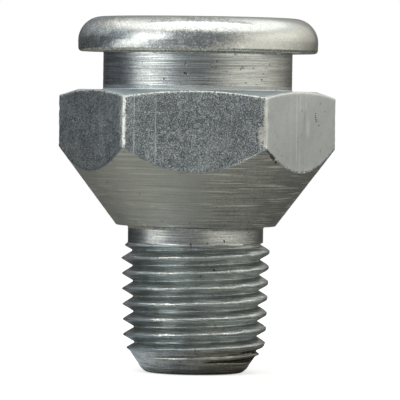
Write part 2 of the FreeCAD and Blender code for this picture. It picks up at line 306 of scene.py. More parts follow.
class Skin:
    """Collects the points and faces of the fitting's skin."""

    def __init__(self):
        self.points = []
        self.along = []
        self.edge = []
        self.grit = []
        self.shade = []
        self.count = 0
        self.faces = []
        self.bands = []

    def add_points(self, radius, angle, height, along, edge=0.0, grit=1.0, shade=0.0):
        block = np.stack([radius * np.cos(angle), radius * np.sin(angle), height], 1)
        ids = np.arange(self.count, self.count + len(block))
        self.points.append(block)
        self.along.append(np.zeros(len(block)) + along)
        self.edge.append(np.zeros(len(block)) + edge)
        self.grit.append(np.zeros(len(block)) + grit)
        self.shade.append(np.zeros(len(block)) + shade)
        self.count += len(block)
        return ids

    def add_face(self, corners, band):
        kept = []
        for corner in corners:
            if corner not in kept:
                kept.append(corner)
        if len(kept) > 2:
            self.faces.append(kept)
            self.bands.append(band)

    def bridge(self, lower, upper, band):
        """Faces between two closed rows."""
        for column in range(COLUMNS):
            other = (column + 1) % COLUMNS
            self.add_face((lower[column], lower[other], upper[other], upper[column]), band)


# How worn the crest is, with painted highlights where it catches the light and painted shade on its left
# side: azimuth in degrees and edge mark
CREST_WEAR_AND_HIGHLIGHT = [
    (0, 0.1), (185, -0.1), (228, -0.05), (238, 0.4), (257, 0.34), (266, 0.1), (276, 0.3), (303, 0.28),
    (330, 0.05), (360, 0.1),
]


def thread_edge(angle, share):
    """The edge mark of a row: the crest is worn and has painted highlights, the side under it has
    painted shade, and the root has a painted highlight.
    """
    crest_share, root_share = 0.085, 0.45
    # A painted highlight along the root, and painted shade on the side under the crest.
    root_highlight, underside_shade, plain = 0.18, -0.12, 0.0
    if abs(share) <= crest_share:
        return read_off(CREST_WEAR_AND_HIGHLIGHT, np.degrees(angle) % 360)
    if abs(share) > root_share:
        return root_highlight
    return underside_shade if share < 0 else plain


def add_thread(skin, top, foot, start_along):
    """The thread's rows climb with it, and end on the flat circles above and below it."""
    least = 0.012
    turns_down = int((CREST_HEIGHT - THREAD_FOOT) / PITCH) + 3
    turns_up = int((THREAD_TOP - CREST_HEIGHT) / PITCH) + 3
    base = CREST_HEIGHT - CREST_ANGLE / (2 * math.pi) * PITCH
    climb = ANGLES / (2 * math.pi) * PITCH
    rows = []
    for turn in range(-turns_down, turns_up + 1):
        for share in ROW_SHARES:
            height = base + (turn + share) * PITCH + climb
            inner = (height > THREAD_FOOT + least) & (height < THREAD_TOP - least)
            row = np.where(height <= THREAD_FOOT + least, foot, top)
            if inner.any():
                angle = ANGLES[inner]
                level = height[inner]
                radius = thread_radius(angle, level, np.zeros(len(angle)) + share * PITCH)
                torn = burr(angle, level)
                edge = thread_edge(angle, share) * between(level, 2.2, 3.0)
                edge = edge - np.clip(-torn * 9.0, 0, 1.2)
                # Painted light and shade of the nose and the thread, by azimuth.
                shade = np.where(level < NOSE_TOP, painted_light_and_shade(angle, NOSE), painted_light_and_shade(angle, THREAD))
                row = row.copy()
                row[inner] = skin.add_points(
                    radius + torn, angle, level, start_along - level * THREAD_RUN, edge, shade=shade
                )
            rows.append(row)
    turn_rows = len(ROW_SHARES)
    following = rows[turn_rows:] + [top] * turn_rows
    for index in range(len(rows) - 1):
        lower, upper = rows[index], rows[index + 1]
        lower_next = np.append(lower[1:], following[index][0])
        upper_next = np.append(upper[1:], following[index + 1][0])
        flat = (lower == upper) & (lower_next == upper_next)
        level = base + (index / turn_rows - turns_down - 0.5) * PITCH + climb
        for column in np.nonzero(~flat)[0]:
            corners = (lower[column], lower_next[column], upper_next[column], upper[column])
            skin.add_face(corners, NOSE if level[column] < NOSE_TOP else THREAD)


# Small dents in the flats and corners: azimuth, height, two half sizes and depth
DENTS = [
    (-61.2, 22.1, 1.5, 0.75, 0.16), (-26.0, 23.4, 0.9, 0.55, 0.10), (-24.6, 22.8, 0.45, 0.5, 0.10),
    (-19.5, 24.3, 0.5, 0.16, 0.10), (-118.6, 23.0, 0.7, 0.35, 0.05), (28.0, 21.5, 1.2, 0.5, 0.10),
    (58.8, 23.3, 1.4, 0.6, 0.14), (96.0, 22.2, 0.8, 0.3, 0.08), (131.0, 24.0, 1.0, 0.4, 0.09),
    (178.6, 21.9, 1.2, 0.5, 0.12), (214.0, 23.1, 0.7, 0.5, 0.07),
]


def dent_depth(angle, height):
    """How deep the dents are."""
    pressed = 0.0
    for turned, level, wide, high, depth in DENTS:
        away = (np.degrees(angle) - turned + 180) % 360 - 180
        pressed = pressed + depth * np.exp(-(away / wide) ** 2 - ((height - level) / high) ** 2)
    return pressed


# How uneven turning and drawing left a band: seed, waves round and up, size, and their middle
UNEVEN = {
    HEAD: (17, 5.0, 1.3, -0.01, 1),
    NECK: (19, 2.0, 9.0, 0.008, 0),
    FLATS: (13, 6.0, 0.7, -0.012, 1),
    CONE: (23, 2.0, 7.0, 0.012, 0),
}


def worn(rows):
    """Moves the plain rows a little, as handling and turning have, and marks the worn corners, which are
    painted bright as wear and as a highlight.
    """
    off_corner = np.degrees(from_corner(ANGLES))
    corner = np.exp(-(off_corner / corner_wear(ANGLES)) ** 4)
    moved = []
    for radius, height, band, edge in rows:
        edge = fan(edge)
        if band == FLATS:
            chips = np.clip(wave_noise(11, ANGLES * 40.0, height * 5.0), 0, None)
            pressed = dent_depth(ANGLES, height)
            # The worn corners are painted bright, as wear and as a highlight.
            edge = np.maximum(edge, 0.62 * corner)
            edge = np.maximum(edge, np.clip(pressed * 7.0, 0, 0.9) * (off_corner < 4))
            radius = radius - corner * 0.05 * chips - pressed
        if band in (FLATS, CONE):
            edge = edge - foot_marks(ANGLES, height)
        if band in UNEVEN:
            seed, round_waves, up_waves, size, middle = UNEVEN[band]
            waves = wave_noise(seed, ANGLES * round_waves, height * up_waves)
            radius = radius + size * (middle + waves)
        moved.append((radius, height, band, edge))
    return moved


def corner_wear(angle):
    """How far the wear reaches from each corner of the hexagon, before it and after it in degrees."""
    reaches = np.array([(1.0, 1.1), (1.3, 1.0), (0.9, 1.2), (1.1, 1.0), (2.7, 1.25), (1.1, 1.8)])
    turned = np.degrees(angle) / 60
    corner = np.round(turned).astype(int)
    after = (turned > corner).astype(int)
    return reaches[corner % 6, after]


# Marks along the foot of the flats: azimuth, half its length in degrees, and how dark. The two dark ones
# at the front right paint the shadow in a crevice there. Below 0 it is a bright burr.
FOOT_MARKS = [
    (-54.8, 1.3, 1.0), (-57.5, 2.6, 0.45), (-68.0, 6.0, -0.85), (94.0, 1.5, 1.0), (176.0, 2.5, 0.8),
]


def foot_marks(angle, height):
    """How dark the marks along the foot of the flats are, some of them a painted shadow."""
    up = height - CONE_FOOT - (hexagon_radius(angle) - CONE_FOOT_R) / CONE_SLOPE
    total = 0.0
    for turned, reach, depth in FOOT_MARKS:
        away = (np.degrees(angle) - turned + 180) % 360 - 180
        total = total + depth * np.exp(-(away / reach) ** 6 - (up / 0.13) ** 4)
    return total


# How strong the grain and the lines are, by azimuth in degrees. The flats have a value each, from the
# one at 30 degrees on. The flat at 270 degrees faces the camera.
STRENGTH = {
    HEAD: [(0, 0.25), (60, 0.5), (130, 0.8), (185, 2.4), (220, 2.0), (240, 0.35), (266, 1.7),
           (282, 1.3), (300, 0.25), (360, 0.25)],
    NECK: [(0, 0.45), (90, 1.0), (180, 1.2), (240, 1.2), (275, 0.8), (295, 0.42), (360, 0.45)],
    FLATS: [0.55, 0.8, 0.45, 1.2, 0.9, 0.33],
    CONE: [(0, 1.2), (60, 0.6), (150, 0.8), (240, 0.4), (272, 0.4), (292, 2.3), (330, 2.2), (360, 1.2)],
}
# Painted light and shade by azimuth: how much paler, or darker below 0, the plating is painted, lighter
# where a side is lit and darker where it is in shade
SHADE = {
    HEAD: [(0, 0.0), (254, 0.0), (262, -0.25), (275, -0.32), (284, 0.0), (294, 0.1), (310, 0.0),
           (360, 0.0)],
    FLATS: [0.2, 0.0, 0.3, 0.15, -0.1, 0.7],
    CONE: [(0, -0.45), (60, 0.0), (190, -0.35), (228, 0.0), (300, 0.08), (325, -0.1), (345, -0.5),
           (360, -0.45)],
    THREAD: [(0, -0.35), (20, 0.0), (165, 0.0), (190, -0.7), (232, -0.6), (252, -0.16), (285, 0.04),
             (335, -0.1), (350, -0.8), (360, -0.5)],
    NOSE: [(0, -0.2), (30, 0.0), (200, 0.15), (245, 0.2), (280, 0.05), (320, -0.15), (360, -0.2)],
}


def by_azimuth(angle, band, tables, plain):
    """A value of a band's finish, or the plain one for a band with no table."""
    turned = np.degrees(angle) % 360
    if band == FLATS:
        return np.array(tables[FLATS])[(turned // 60).astype(int)]
    return read_off(tables.get(band, [(0, plain)]), turned)


def finish_strength(angle, band):
    return by_azimuth(angle, band, STRENGTH, 1.0)


# Painted light and shade of a band at each azimuth.
def painted_light_and_shade(angle, band):
    return by_azimuth(angle, band, SHADE, 0.0)


def head_finish(radius, height):
    """The head's grain is even on its top, which is painted darker as shade against the light from
    above, and its dark patch, painted shade, is on its side.
    """
    on_side = between(radius, 8.4, 9.8)
    grit = 0.7 + (finish_strength(ANGLES, HEAD) - 0.7) * on_side
    on_top = between(radius, 8.8, 7.6) * (height > HEAD_TOP - 0.5)
    patch = between(height, 31.2, 30.8) * between(height, 29.85, 30.05)
    return grit, painted_light_and_shade(ANGLES, HEAD) * patch - 0.6 * on_top


def path_lengths(rows):
    """Distance down the profile at each row, along its mean line."""
    middle = np.array([(row[0].mean(), row[1].mean()) for row in rows])
    steps = np.linalg.norm(np.diff(middle, axis=0), axis=1)
    return np.concatenate([[0.0], np.cumsum(steps)])


def put(name, data):
    """A new object in the scene."""
    item = bpy.data.objects.new(name, data)
    bpy.context.scene.collection.objects.link(item)
    return item


def lean_normals(mesh):
    """Leans a mesh's normals towards the larger faces, so that flats look flat."""
    count = len(mesh.polygons)
    normals = np.zeros(count * 3)
    areas = np.zeros(count)
    totals = np.zeros(count, np.int32)
    corners = np.zeros(len(mesh.loops), np.int32)
    mesh.polygons.foreach_get("normal", normals)
    mesh.polygons.foreach_get("area", areas)
    mesh.polygons.foreach_get("loop_total", totals)
    mesh.loops.foreach_get("vertex_index", corners)
    weighted = normals.reshape(-1, 3) * areas[:, None]
    summed = np.zeros((len(mesh.vertices), 3))
    np.add.at(summed, corners, np.repeat(weighted, totals, axis=0))
    summed = summed / np.maximum(np.linalg.norm(summed, axis=1, keepdims=True), 1e-20)
    mesh.normals_split_custom_set_from_vertices(summed.tolist())


def make_mesh(name, points, faces, bands=None, attributes=()):
    """A smooth mesh object from points in millimetres."""
    mesh = bpy.data.meshes.new(name)
    mesh.from_pydata((np.asarray(points) * MM).tolist(), [], [list(map(int, f)) for f in faces])
    mesh.shade_smooth()
    if bands is not None:
        mesh.polygons.foreach_set("material_index", np.asarray(bands, np.int32))
    for title, values in attributes:
        layer = mesh.attributes.new(title, "FLOAT", "POINT")
        layer.data.foreach_set("value", np.asarray(values, np.float32))
    mesh.update()
    lean_normals(mesh)
    return put(name, mesh)


def make_body():
    """The turned body as one closed skin."""
    skin = Skin()
    outer = worn(outside_rows())
    lengths = path_lengths(outer)
    upper_ids = []
    for (radius, height, band, edge), along in zip(outer, lengths):
        radius = fan(radius)
        if band in (FLATS, CONE):
            along = lengths[-1] + (THREAD_TOP - height) * CONE_RUN
        elif band == RIM:
            along = radius
        # The band's grain strength, and its painted light and shade by azimuth.
        grit, shade = finish_strength(ANGLES, band), painted_light_and_shade(ANGLES, band)
        if band == HEAD:
            grit, shade = head_finish(radius, height)
        upper_ids.append(skin.add_points(radius, ANGLES, height, along, edge, grit, shade))
    for row in range(len(upper_ids) - 1):
        skin.bridge(upper_ids[row + 1], upper_ids[row], outer[row][2])
    base = CREST_HEIGHT + (ANGLES - CREST_ANGLE) / (2 * math.pi) * PITCH
    top_offset = (THREAD_TOP - base + PITCH / 2) % PITCH - PITCH / 2
    top_radius = thread_radius(ANGLES, fan(THREAD_TOP), top_offset)
    thread_along = lengths[-1] + THREAD_TOP * THREAD_RUN
    top = skin.add_points(top_radius, ANGLES, fan(THREAD_TOP), lengths[-1])
    skin.bridge(top, upper_ids[-1], RELIEF)
    foot_radius = envelope(fan(THREAD_FOOT))
    foot_along = thread_along - THREAD_FOOT * THREAD_RUN
    foot = skin.add_points(foot_radius, ANGLES, fan(THREAD_FOOT), foot_along)
    add_thread(skin, top, foot, thread_along)
    inner = inside_rows()
    inner_ids = []
    # The inner rows take the nose's painted light and shade by azimuth.
    for (radius, height, band, edge), along in zip(inner, path_lengths(inner) + thread_along):
        inner_ids.append(skin.add_points(radius, ANGLES, height, along, edge, 1.0, painted_light_and_shade(ANGLES, band)))
    skin.bridge(inner_ids[0], foot, NOSE)
    for row in range(len(inner_ids) - 1):
        skin.bridge(inner_ids[row + 1], inner_ids[row], inner[row][2])
    skin.bridge(upper_ids[0], inner_ids[-1], BORE)
    marks = [("along", skin.along), ("edge", skin.edge), ("grit", skin.grit), ("shade", skin.shade)]
    attributes = [(title, np.concatenate(values)) for title, values in marks]
    return make_mesh("fitting_skin", np.concatenate(skin.points), skin.faces, skin.bands, attributes)


def make_spring():
    """The spring in round wire: open turns between two closed ones."""
    wire_r, coil_r = 0.35, 3.05
    low, high = 1.37, 27.05
    closed = 0.72
    open_turns = 5.0
    per_turn, sides = 48, 12
    turns = np.arange(0, int((open_turns + 2) * per_turn) + 1) / per_turn
    height = np.interp(
        turns, [0, 1, 1 + open_turns, 2 + open_turns], [low, low + closed, high - closed, high]
    )
    kernel = np.hanning(9) / np.hanning(9).sum()
    padded = np.concatenate([np.full(4, height[0]), height, np.full(4, height[-1])])
    height = np.convolve(padded, kernel, "valid")
    angle = turns * 2 * math.pi
    points, faces = [], []
    for step in range(len(turns)):
        for side in range(sides):
            around = 2 * math.pi * side / sides
            radius = coil_r + wire_r * math.cos(around)
            points.append((
                radius * math.cos(angle[step]), radius * math.sin(angle[step]),
                height[step] + wire_r * math.sin(around),
            ))
    for step in range(len(turns) - 1):
        for side in range(sides):
            other = (side + 1) % sides
            a = step * sides
            b = a + sides
            faces.append((a + side, b + side, b + other, a + other))
    last = (len(turns) - 1) * sides
    faces.append(tuple(range(sides)))
    faces.append(tuple(last + side for side in reversed(range(sides))))
    return make_mesh("spring_coil", points, faces)


class Graph:
    """Short forms for building the nodes of a material or a world."""

    def __init__(self, owner):
        owner.use_nodes = True
        self.owner = owner
        self.tree = owner.node_tree
        self.tree.nodes.clear()

    def node(self, kind, settings=None, **inputs):
        made = self.tree.nodes.new(kind)
        for key, value in (settings or {}).items():
            setattr(made, key, value)
        for key, value in inputs.items():
            self.feed(made, key.replace("_", " "), value)
        return made

    def feed(self, made, key, value):
        """Sets an input, by its name or its number after a #."""
        socket = made.inputs[int(key[1:])] if key[0] == "#" else made.inputs[key]
        if isinstance(value, bpy.types.NodeSocket):
            self.tree.links.new(value, socket)
        else:
            socket.default_value = value

    def feed_all(self, made, *values):
        for index, value in enumerate(values):
            self.feed(made, f"#{index}", value)

    def math(self, operation, a, b=0.0, clamp=False):
        made = self.node("ShaderNodeMath", {"operation": operation, "use_clamp": clamp})
        self.feed_all(made, a, b)
        return made.outputs[0]

    def fold(self, operation, values):
        """One operation over several values, from the first to the last."""
        result = values[0]
        for value in values[1:]:
            result = self.math(operation, result, value)
        return result

    def total(self, *values):
        return self.fold("ADD", values)

    def times(self, *values):
        return self.fold("MULTIPLY", values)

    def largest(self, *values):
        return self.fold("MAXIMUM", values)

    def swing(self, value, amount):
        """Swings to both sides of 0 as noise does about 0.5."""
        return self.times(self.math("SUBTRACT", value, 0.5), amount)

    def ramp(self, value, low, high, out_low=0.0, out_high=1.0):
        made = self.node("ShaderNodeMapRange", {"interpolation_type": "SMOOTHSTEP"})
        self.feed_all(made, value, low, high, out_low, out_high)
        return made.outputs[0]

    def mix(self, factor, a, b):
        made = self.node("ShaderNodeMix", {"data_type": "RGBA"})
        self.feed(made, "#0", factor)
        self.feed(made, "#6", a)
        self.feed(made, "#7", b)
        return made.outputs[2]

    def mix_shaders(self, factor, a, b):
        made = self.node("ShaderNodeMixShader")
        self.feed_all(made, factor, a, b)
        return made.outputs[0]

    def vector(self, operation, a, b=(0, 0, 0)):
        made = self.node("ShaderNodeVectorMath", {"operation": operation})
        self.feed_all(made, a, b)
        return made.outputs["Value" if operation in ("DISTANCE", "LENGTH") else "Vector"]

    def scaled(self, vector, factors):
        return self.vector("MULTIPLY", vector, factors)

    def noise(self, vector, scale, detail=2.0, rough=0.5):
        made = self.node("ShaderNodeTexNoise", Scale=scale, Detail=detail, Roughness=rough)
        self.feed(made, "Vector", vector)
        return made.outputs["Fac"]

    def mark(self, title):
        """A number that the mesh carries at its points."""
        return self.node("ShaderNodeAttribute", {"attribute_name": title}).outputs["Fac"]

    def end(self, shader, kind="ShaderNodeOutputMaterial"):
        self.feed(self.node(kind), "Surface", shader)


# Tints of the plating: red, green and blue for a grey of 1
PLAIN_ZINC = (0.94, 1.0, 0.985)
COOL_ZINC = (0.89, 1.0, 1.045)
TEAL_ZINC = (0.91, 1.0, 1.0)
OLIVE_ZINC = (0.92, 1.0, 0.95)
BROWN_ZINC = (1.05, 1.0, 0.86)
DULL_ZINC = (0.965, 1.0, 0.945)
CLEAN_ZINC = (0.96, 1.0, 0.965)


def tinted(level, tint=PLAIN_ZINC, warm=0.0):
    """A grey with a tint, made warmer above 0 and cooler below it."""
    red, green, blue = (level * part for part in tint)
    shift = 0.05 * warm
    return (red * (1 + shift), green, blue * (1 - shift), 1.0)


# Straight marks that the drawing left up and down the flats: across, away from the camera, half width
DRAW_LINES = [
    (-5.42, -11.1, 0.045), (-3.5, -11.1, 0.035), (5.9, -11.1, 0.03), (9.99, -4.9, 0.05),
    (9.45, -5.85, 0.03), (9.15, -6.4, 0.035), (8.6, -7.3, 0.03), (-7.5, -8.5, 0.03),
    (-10.6, 4.6, 0.04), (10.9, 3.3, 0.04), (3.1, 11.1, 0.045), (-4.4, 11.1, 0.03),
]
# Dark pits that stand out, and painted shade in small dents: across, away from the camera, up, radius
LARGE_PITS = [
    (-0.99, -8.65, 27.52, 0.11), (-0.84, -8.65, 27.45, 0.09), (-2.88, -8.2, 26.95, 0.07),
    (5.92, -6.4, 27.0, 0.07), (1.84, -6.3, 9.72, 0.1), (0.63, -6.3, 9.16, 0.085),
    (4.5, -7.45, 26.7, 0.06),
    (7.28, -9.45, 19.6, 0.11), (7.05, -9.85, 19.8, 0.06), (10.9, -3.2, 24.0, 0.05),
    (10.88, -3.25, 23.83, 0.05), (10.86, -3.3, 23.65, 0.065), (10.9, -3.2, 23.47, 0.065),
    (10.95, -3.1, 23.3, 0.07), (11.75, -1.7, 24.2, 0.05), (11.2, -2.7, 22.9, 0.055),
    (9.6, -5.4, 22.0, 0.04), (-8.2, -7.9, 21.4, 0.06),
    (6.6, 5.7, 28.4, 0.07), (-5.6, 6.7, 27.3, 0.06), (-2.2, 8.4, 28.8, 0.07),
]


def near_points(g, place, points):
    """1 inside each of the listed small balls, and 0 outside them. They are drawn out from front to
    back, so that each one shows on the surface near it."""
    squeeze = (1.0, 0.15, 1.0)
    squeezed = g.scaled(place, squeeze)
    inside = []
    for *centre, radius in points:
        away = g.vector("DISTANCE", squeezed, [part * share for part, share in zip(centre, squeeze)])
        inside.append(g.ramp(away, radius * 0.6, radius * 1.3, 1.0, 0.0))
    return g.largest(*inside)


@dataclass
class Finish:
    """A zinc plated finish: its darkest and lightest greys, its roughness and tints, and how strong and
    how fine its marks are. Lines and streaks run round the axis, drawn marks run along it, and grain has
    no direction. An even finish has no marks that keep to a place."""
    dark: float
    light: float
    rough: float
    tint: tuple = PLAIN_ZINC
    lines: float = 0.0
    line_density: float = 9.0
    streaks: float = 0.0
    broad: float = 1.0
    drawn: float = 0.0
    grain: float = 0.3
    grain_scale: float = 14.0
    mottle: float = 0.5
    cloud_scale: float = 0.45
    pits: float = 0.3
    stain: tuple = BROWN_ZINC
    crest: float = 0.66
    relief: float = 0.012
    even: bool = False

    @property
    def mostly_lines(self):
        """Whether lines are seen more than grain."""
        return self.lines >= 0.5


def surface_marks(g, look):
    """The noises that a finish is made of, and where its grain, lines, pits, worn edges, painted
    highlights, dirt and painted shade are.
    """
    place = g.scaled(g.node("ShaderNodeTexCoord").outputs["Object"], (1000, 1000, 1000))
    down = g.node("ShaderNodeCombineXYZ", Z=g.mark("along")).outputs[0]
    around = g.vector("ADD", g.vector("NORMALIZE", g.scaled(place, (1, 1, 0))), down)
    density = look.line_density

    def turned_noise(round_scale, along_scale, detail, rough=0.5):
        return g.noise(g.scaled(around, (round_scale, round_scale, along_scale)), 1.0, detail, rough)

    m = SimpleNamespace(place=place)
    m.grit = 1.0 if look.even else g.mark("grit")
    m.shade = 0.0 if look.even else g.mark("shade")
    m.fine_lines = turned_noise(1.3, density, 2.0, 0.75)
    m.broad_lines = turned_noise(1.2, density * 0.3, 2.0)
    m.dashes = g.ramp(turned_noise(9.0, density, 1.0), 0.6, 0.72)
    m.thin_lines = g.ramp(turned_noise(2.0, density * 0.75, 1.0), 0.6, 0.68)
    where_lines = g.ramp(turned_noise(1.4, 0.3, 1.0), 0.4, 0.6, 0.6, 1.4)
    m.drawn = g.noise(g.scaled(place, (5.0, 5.0, 0.09)), 1.0, 3.0, 0.65)
    m.specks = g.noise(place, look.grain_scale, 1.0, 0.7)
    m.coarse = g.noise(place, look.grain_scale * 0.3, 2.0)
    m.sparkle = g.ramp(g.noise(place, look.grain_scale * 0.62, 1.0), 0.65, 0.72)
    m.clouds = g.noise(place, look.cloud_scale, 3.0, 0.6)
    m.stains = g.ramp(g.noise(g.scaled(place, (1.1, 1.1, 1.3)), 1.0, 4.0, 0.75), 0.48, 0.7)
    m.grain = g.times(m.grit, look.grain)
    m.lines = g.times(m.grit, look.lines, where_lines)
    m.pits = g.times(g.ramp(g.noise(place, 1.9, 1.0, 0.4), 0.715, 0.76), look.pits)
    if not look.even:
        m.pits = g.largest(m.pits, near_points(g, place, LARGE_PITS))
    if look.mostly_lines:
        small, patchy = m.fine_lines, turned_noise(16.0, density * 0.4, 2.0, 0.6)
    else:
        small, patchy = m.specks, g.noise(place, 3.4, 2.0, 0.6)
    edge = g.mark("edge")
    ragged = g.total(g.swing(patchy, 2.6), g.swing(small, 2.2))
    # Bright where edges are worn and where highlights are painted; dark where there is dirt and where
    # shade is painted.
    m.bright = g.ramp(g.total(edge, g.times(ragged, 0.6)), 0.3, 0.62)
    m.dirty = g.ramp(g.math("SUBTRACT", g.times(ragged, 0.35), edge), 0.25, 0.75)
    return m


def draw_marks(g, place):
    """The straight marks of the drawing, broken along their length."""
    lines = [(across, back, 0.0, half) for across, back, half in DRAW_LINES]
    broken = g.ramp(g.noise(g.scaled(place, (3.0, 3.0, 0.4)), 1.0, 3.0, 0.7), 0.42, 0.54)
    return g.times(near_points(g, g.scaled(place, (1, 1, 0)), lines), broken)


def plating_colour(g, look, m):
    """The plating's greys with painted light and shade, and over them what is bright, stained, pitted or
    worn, with painted highlights, and the dirt and painted shade.
    """
    tone = g.total(
        m.shade, 0.45,
        g.times(g.swing(m.clouds, 2.0 * look.mottle), m.grit),
        g.times(g.swing(m.specks, 6.0), m.grain),
        g.times(g.swing(m.coarse, 1.6), m.grain),
        g.times(g.swing(m.fine_lines, 4.4), m.lines),
        g.swing(m.broad_lines, 1.3 * look.lines * look.broad),
        g.times(m.dashes, -0.5 * look.lines * look.broad),
        g.swing(m.drawn, 1.6 * look.drawn),
    )
    layers = [
        (g.times(m.thin_lines, m.grit, look.streaks), tinted(min(1.0, look.light * 1.5), look.tint)),
        (g.times(m.sparkle, m.grain, 0.85), tinted(0.92)),
        (g.times(m.stains, 0.7 * look.mottle, m.grit), tinted(look.dark * 1.25, look.stain)),
        (m.pits, tinted(look.dark * 0.2)),
        (g.times(m.bright, 0.75), tinted(look.crest, CLEAN_ZINC, 0.6)),
        (g.times(m.dirty, 0.85), tinted(look.dark * 0.16, BROWN_ZINC)),
    ]
    if look.drawn:
        layers.insert(4, (g.times(draw_marks(g, m.place), 0.6), tinted(0.8)))
    colour = g.mix(tone, tinted(look.dark, look.tint, -0.5), tinted(look.light, look.tint, 0.3))
    for share, paint in layers:
        colour = g.mix(share, colour, paint)
    return colour


def plating_roughness(g, look, m):
    """Worn edges are smoother among lines and rougher among grain, and the dirt and painted shade are
    rougher.
    """
    worn_off = -0.12 if look.mostly_lines else 0.15
    cloudy = g.times(g.swing(m.clouds, 0.1), m.grit)
    rough = g.total(look.rough, cloudy, g.swing(m.specks, 0.1), g.times(m.bright, worn_off))
    return g.math("ADD", rough, g.times(m.dirty, 0.2), clamp=True)


def plating_relief(g, look, m):
    """The normal, bent by grain, lines, drawn marks and pits."""
    height = g.total(
        g.times(m.specks, m.grain),
        g.times(m.fine_lines, m.lines),
        g.times(m.broad_lines, 1.5 * look.lines * look.broad),
        g.times(m.drawn, look.drawn),
        g.times(m.pits, -1.5),
    )
    return g.node("ShaderNodeBump", Strength=1.0, Distance=look.relief * MM, Height=height).outputs[0]


def steel(name, look):
    """The material of a finish."""
    g = Graph(bpy.data.materials.new(name))
    m = surface_marks(g, look)
    shader = g.node("ShaderNodeBsdfPrincipled", Metallic=1.0, Base_Color=plating_colour(g, look, m),
                    Roughness=plating_roughness(g, look, m), Normal=plating_relief(g, look, m))
    g.end(shader.outputs[0])
    return g.owner


# One finish for each band of the body, in the order of the band numbers
BODY_FINISHES = {
    "zinc_head": Finish(0.32, 0.67, 0.17, CLEAN_ZINC, lines=0.12, grain=0.36, grain_scale=6.5,
                        mottle=0.65, cloud_scale=1.4, pits=0.2, stain=CLEAN_ZINC, relief=0.004),
    "zinc_neck": Finish(0.235, 0.585, 0.15, lines=0.9, line_density=12.0, streaks=0.3, grain=0.25,
                        mottle=0.4, pits=0.5),
    "zinc_rim": Finish(0.5, 0.75, 0.45, COOL_ZINC, lines=0.2, grain=0.15, mottle=0.2),
    "zinc_flats": Finish(0.14, 0.56, 0.36, COOL_ZINC, drawn=0.4, grain=0.86, grain_scale=10.0,
                         mottle=0.6),
    "zinc_cone": Finish(0.28, 0.5, 0.36, OLIVE_ZINC, lines=0.6, line_density=8.0, streaks=0.7,
                        broad=0.3, mottle=0.4),
    "zinc_relief": Finish(0.26, 0.54, 0.13, lines=0.5, mottle=0.4, pits=0.9),
    "zinc_thread": Finish(0.28, 0.66, 0.38, TEAL_ZINC, lines=0.9, line_density=12.0, streaks=0.5,
                          grain=0.4, grain_scale=11.0, pits=0.5, crest=0.85),
    "zinc_nose": Finish(0.22, 0.62, 0.36, DULL_ZINC, lines=1.0, line_density=12.0, streaks=0.3,
                        grain=0.35, mottle=0.8, pits=0.6),
    "bore_steel": Finish(0.16, 0.3, 0.45, BROWN_ZINC, lines=0.4, mottle=0.6, pits=0.5),
}
SPRING_FINISH = Finish(0.35, 0.55, 0.3, grain=0.2, even=True)
BALL_FINISH = Finish(0.5, 0.66, 0.12, grain=0.1, mottle=0.3, relief=0.003, even=True)


def azimuth_point(turned, distance, height):
    """A point round the object: 0 is towards the camera, and it grows to the camera's right."""
    angle = math.radians(turned)
    return (distance * math.sin(angle), -distance * math.cos(angle), height)


# About the middle of the object, in metres
MIDDLE = (0, 0, 0.018)
LAMP_WHITE = (1.0, 1.0, 0.98)
LAMP_WARM = (1.0, 0.98, 0.93)


def aim(item, target):
    """Turns an object so that its -Z looks at a point."""
    direction = Vector(target) - item.location
    item.rotation_mode = "QUATERNION"
    item.rotation_quaternion = direction.to_track_quat("-Z", "Y")


def make_lamp(name, turned, distance, height, size, radiance, colour, glossy=True):
    """A soft box whose face looks about as bright as its radiance."""
    lamp = bpy.data.lights.new(name, "AREA")
    lamp.shape = "RECTANGLE"
    lamp.size, lamp.size_y = size
    lamp.energy = radiance * math.pi * size[0] * size[1]
    lamp.color = colour
    item = put(name, lamp)
    item.location = azimuth_point(turned, distance, height)
    aim(item, MIDDLE)
    item.visible_camera = False
    item.visible_glossy = glossy


# The studio screens round the object: azimuth, brightness and warmth. Azimuth 0 is towards the camera.
SCREEN_LEVELS = [
    (-180, 0.16, 0.3), (-160, 0.05, 0.0), (-140, 0.03, -0.1), (-120, 0.07, -0.2), (-105, 0.12, -0.3),
    (-95, 0.24, -0.3), (-88, 0.5, 0.0), (-82, 1.1, 0.2), (-75, 1.85, 0.4), (-64, 2.05, 0.5),
    (-52, 1.9, 0.45), (-44, 1.15, 0.2), (-36, 0.62, 0.0), (-24, 0.48, 0.15), (-10, 0.42, 0.15),
    (4, 0.34, 0.4), (14, 0.44, 0.8), (24, 0.66, 0.9), (38, 1.02, 1.0), (60, 1.12, 1.0),
    (80, 1.02, 1.0), (100, 0.66, 1.1), (120, 0.38, 1.1), (135, 0.19, 1.0), (150, 0.08, 1.0),
    (180, 0.16, 0.3),
]
# The grey mat that the object stands on: azimuth, brightness, and its brightness close to the foot
MAT_LEVELS = [
    (-180, 0.16, 0.2), (-120, 0.32, 0.35), (-60, 0.6, 0.45), (-20, 0.55, 0.24), (20, 0.46, 0.14),
    (60, 0.35, 0.1), (120, 0.2, 0.1), (180, 0.16, 0.2),
]
